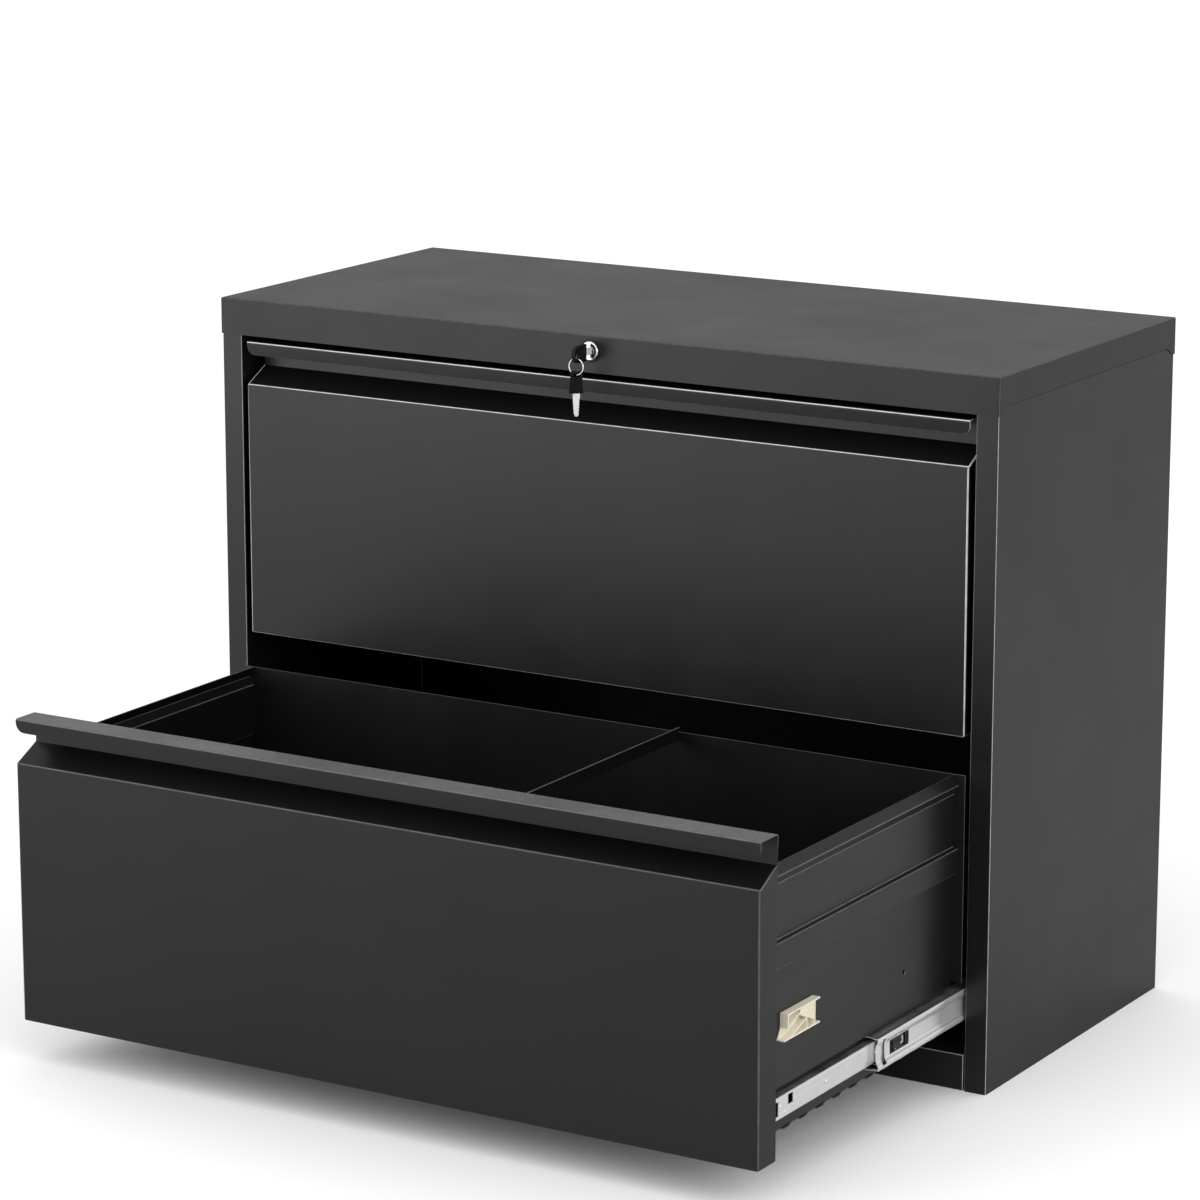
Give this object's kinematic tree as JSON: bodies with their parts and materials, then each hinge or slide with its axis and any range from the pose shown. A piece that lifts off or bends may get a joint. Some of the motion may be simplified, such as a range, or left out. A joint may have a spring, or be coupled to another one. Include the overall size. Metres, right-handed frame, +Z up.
{
  "type": "lateral filing cabinet",
  "caption": "Black steel lateral filing cabinet with sliding drawers on ball-bearing slides, one of them open, pull lips, and a lock with hanging keys.",
  "frame": {"origin": "on the floor, in the middle of the room that the cabinet takes with its lower drawer open", "axes": "+X to the right as the cabinet is faced from the front, +Y to its back, +Z up"},
  "size_m": [0.9, 0.7976, 0.71],
  "materials": {
    "black_coat": "satin black powder coat on folded sheet steel",
    "zinc_steel": "bright zinc plate on rolled steel",
    "bright_chrome": "polished chrome plate",
    "black_plastic": "fine-textured black moulding",
    "key_steel": "nickel-plated key blank with tumbled edges",
    "cream_plastic": "unpainted cream acetal moulding"
  },
  "bodies": {
    "cabinet": {"top_cap": "black_coat", "left_side_panel": "black_coat", "right_side_panel": "black_coat", "back_panel": "black_coat", "base_rail": "black_coat", "floor_panel": "black_coat", "left_rear_upright": "black_coat", "right_rear_upright": "black_coat", "lower_left_outer_member": "zinc_steel", "lower_right_outer_member": "zinc_steel", "upper_left_outer_member": "zinc_steel", "upper_right_outer_member": "zinc_steel", "lock_housing": "bright_chrome", "lock_trim_ring": "black_plastic", "lock_nut": "zinc_steel", "rod_guide": "black_coat"},
    "lower_drawer": {"lower_front": "black_coat", "lower_inner_front": "black_coat", "lower_left_side": "black_coat", "lower_right_side": "black_coat", "lower_back": "black_coat", "lower_bottom": "black_coat", "lower_hanging_bar": "black_coat", "lower_interlock_clip": "cream_plastic", "lower_left_inner_member": "zinc_steel", "lower_right_inner_member": "zinc_steel"},
    "lower_middle_members": {"lower_left_middle_member": "zinc_steel", "lower_right_middle_member": "zinc_steel"},
    "lower_outer_cages": {"lower_left_outer_cage": "zinc_steel", "lower_right_outer_cage": "zinc_steel"},
    "lower_inner_cages": {"lower_left_inner_cage": "zinc_steel", "lower_right_inner_cage": "zinc_steel"},
    "upper_drawer": {"upper_front": "black_coat", "upper_inner_front": "black_coat", "upper_left_side": "black_coat", "upper_right_side": "black_coat", "upper_back": "black_coat", "upper_bottom": "black_coat", "upper_hanging_bar": "black_coat", "upper_interlock_clip": "cream_plastic", "upper_left_inner_member": "zinc_steel", "upper_right_inner_member": "zinc_steel"},
    "upper_middle_members": {"upper_left_middle_member": "zinc_steel", "upper_right_middle_member": "zinc_steel"},
    "upper_outer_cages": {"upper_left_outer_cage": "zinc_steel", "upper_right_outer_cage": "zinc_steel"},
    "upper_inner_cages": {"upper_left_inner_cage": "zinc_steel", "upper_right_inner_cage": "zinc_steel"},
    "lock_core": {"lock_plug": "bright_chrome", "lock_cam": "zinc_steel", "key_blade": "key_steel", "key_head": "black_plastic"},
    "lock_rod": {"lock_rod": "zinc_steel"},
    "lock_bar": {"lock_bar": "zinc_steel"},
    "hanging_keys": {"key_ring": "bright_chrome", "spare_key_head": "black_plastic", "spare_key_blade": "key_steel"}
  },
  "joints": [
    {"name": "lower_drawer_slide", "type": "slide", "parent": "cabinet", "child": "lower_drawer", "axis": [0, -1, 0], "range_m": [-0.3985, 0]},
    {"name": "lower_middle_slide", "type": "slide", "parent": "cabinet", "child": "lower_middle_members", "axis": [0, -1, 0], "range_m": [-0.2143, 0]},
    {"name": "lower_outer_cage_roll", "type": "slide", "parent": "cabinet", "child": "lower_outer_cages", "axis": [0, -1, 0], "range_m": [-0.1072, 0]},
    {"name": "lower_inner_cage_roll", "type": "slide", "parent": "cabinet", "child": "lower_inner_cages", "axis": [0, -1, 0], "range_m": [-0.3064, 0]},
    {"name": "upper_drawer_slide", "type": "slide", "parent": "cabinet", "child": "upper_drawer", "axis": [0, -1, 0], "range_m": [0, 0.3985], "deforming": ["spare_key_head", "spare_key_blade"]},
    {"name": "upper_middle_slide", "type": "slide", "parent": "cabinet", "child": "upper_middle_members", "axis": [0, -1, 0], "range_m": [0, 0.2143]},
    {"name": "upper_outer_cage_roll", "type": "slide", "parent": "cabinet", "child": "upper_outer_cages", "axis": [0, -1, 0], "range_m": [0, 0.1072]},
    {"name": "upper_inner_cage_roll", "type": "slide", "parent": "cabinet", "child": "upper_inner_cages", "axis": [0, -1, 0], "range_m": [0, 0.3064]},
    {"name": "lock_rod_slide", "type": "slide", "parent": "cabinet", "child": "lock_rod", "axis": [1, 0, 0], "range_m": [0, 0.01414]},
    {"name": "lock_turn", "type": "hinge", "parent": "cabinet", "child": "lock_core", "pos_m": [0, -0.0012, 0.6946], "axis": [0, -1, 0], "range_deg": [0, 90]},
    {"name": "lock_bar_drop", "type": "slide", "parent": "cabinet", "child": "lock_bar", "axis": [0, 0, -1], "range_m": [0, 0.007]},
    {"name": "keys_hang", "type": "hinge", "parent": "lock_core", "child": "hanging_keys", "pos_m": [0, -0.0287, 0.68776], "axis": [0, -1, 0], "range_deg": [-90, 0]}
  ],
  "couplings": [
    {"joint": "lower_middle_slide", "follows": "lower_drawer_slide", "ratio": 0.5375},
    {"joint": "lower_outer_cage_roll", "follows": "lower_drawer_slide", "ratio": 0.26875},
    {"joint": "lower_inner_cage_roll", "follows": "lower_drawer_slide", "ratio": 0.76875},
    {"joint": "upper_middle_slide", "follows": "upper_drawer_slide", "ratio": 0.5375},
    {"joint": "upper_outer_cage_roll", "follows": "upper_drawer_slide", "ratio": 0.26875},
    {"joint": "upper_inner_cage_roll", "follows": "upper_drawer_slide", "ratio": 0.76875},
    {"joint": "lock_turn", "follows": "lock_rod_slide", "rad_per_m": 111.05},
    {"joint": "lock_bar_drop", "follows": "lock_rod_slide", "ratio": 0.495},
    {"joint": "keys_hang", "follows": "lock_rod_slide", "rad_per_m": -111.05}
  ]
}
